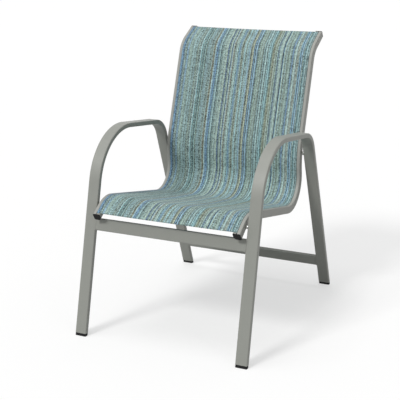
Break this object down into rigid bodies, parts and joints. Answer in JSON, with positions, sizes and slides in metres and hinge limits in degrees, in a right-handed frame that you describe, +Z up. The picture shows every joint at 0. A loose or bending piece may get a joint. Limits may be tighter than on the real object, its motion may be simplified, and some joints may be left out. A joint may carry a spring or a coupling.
{
  "type": "sling patio chair",
  "caption": "Stacking patio armchair: two bent flat-tube side frames joined by cross rails carry a striped sling stretched between slotted seat-and-back rails.",
  "frame": {"origin": "middle of the footprint, on the floor", "axes": "+Z up, the chair faces -Y. Left and right in the node names are those of someone who looks at the front, so left is -X"},
  "size_m": [0.61, 0.8144, 0.9487],
  "materials": {
    "frame_paint": "powder coat, satin, grey taupe",
    "rail_paint": "powder coat, satin, grey taupe",
    "black_plastic": "moulded, matt black",
    "grey_nylon": "turned nylon, pale grey",
    "bright_steel": "zinc plated",
    "sling_cloth": "coated yarn, woven, striped lengthwise",
    "welt_plastic": "extruded rod"
  },
  "bodies": {
    "root": {"left_side_frame": "frame_paint", "right_side_frame": "frame_paint", "front_cross_rail": "frame_paint", "rear_cross_rail": "frame_paint", "left_sling_rail": "rail_paint", "right_sling_rail": "rail_paint", "sling_cloth": "sling_cloth", "left_welt_rod": "welt_plastic", "right_welt_rod": "welt_plastic", "left_rail_front_cap": "black_plastic", "right_rail_front_cap": "black_plastic", "left_rail_top_cap": "black_plastic", "right_rail_top_cap": "black_plastic", "left_front_glide": "black_plastic", "right_front_glide": "black_plastic", "left_rear_glide": "black_plastic", "right_rear_glide": "black_plastic", "seat_spreader_bar": "frame_paint", "left_seat_spreader_plug": "black_plastic", "right_seat_spreader_plug": "black_plastic", "back_spreader_bar": "frame_paint", "left_back_spreader_plug": "black_plastic", "right_back_spreader_plug": "black_plastic", "left_front_rail_bolt": "bright_steel", "left_rear_rail_bolt": "bright_steel", "right_front_rail_bolt": "bright_steel", "right_rear_rail_bolt": "bright_steel", "left_front_rail_spacer": "grey_nylon", "left_rear_rail_spacer": "grey_nylon", "right_front_rail_spacer": "grey_nylon", "right_rear_rail_spacer": "grey_nylon", "left_front_leg_insert": "bright_steel", "left_rear_leg_insert": "bright_steel", "right_front_leg_insert": "bright_steel", "right_rear_leg_insert": "bright_steel"}
  },
  "joints": []
}
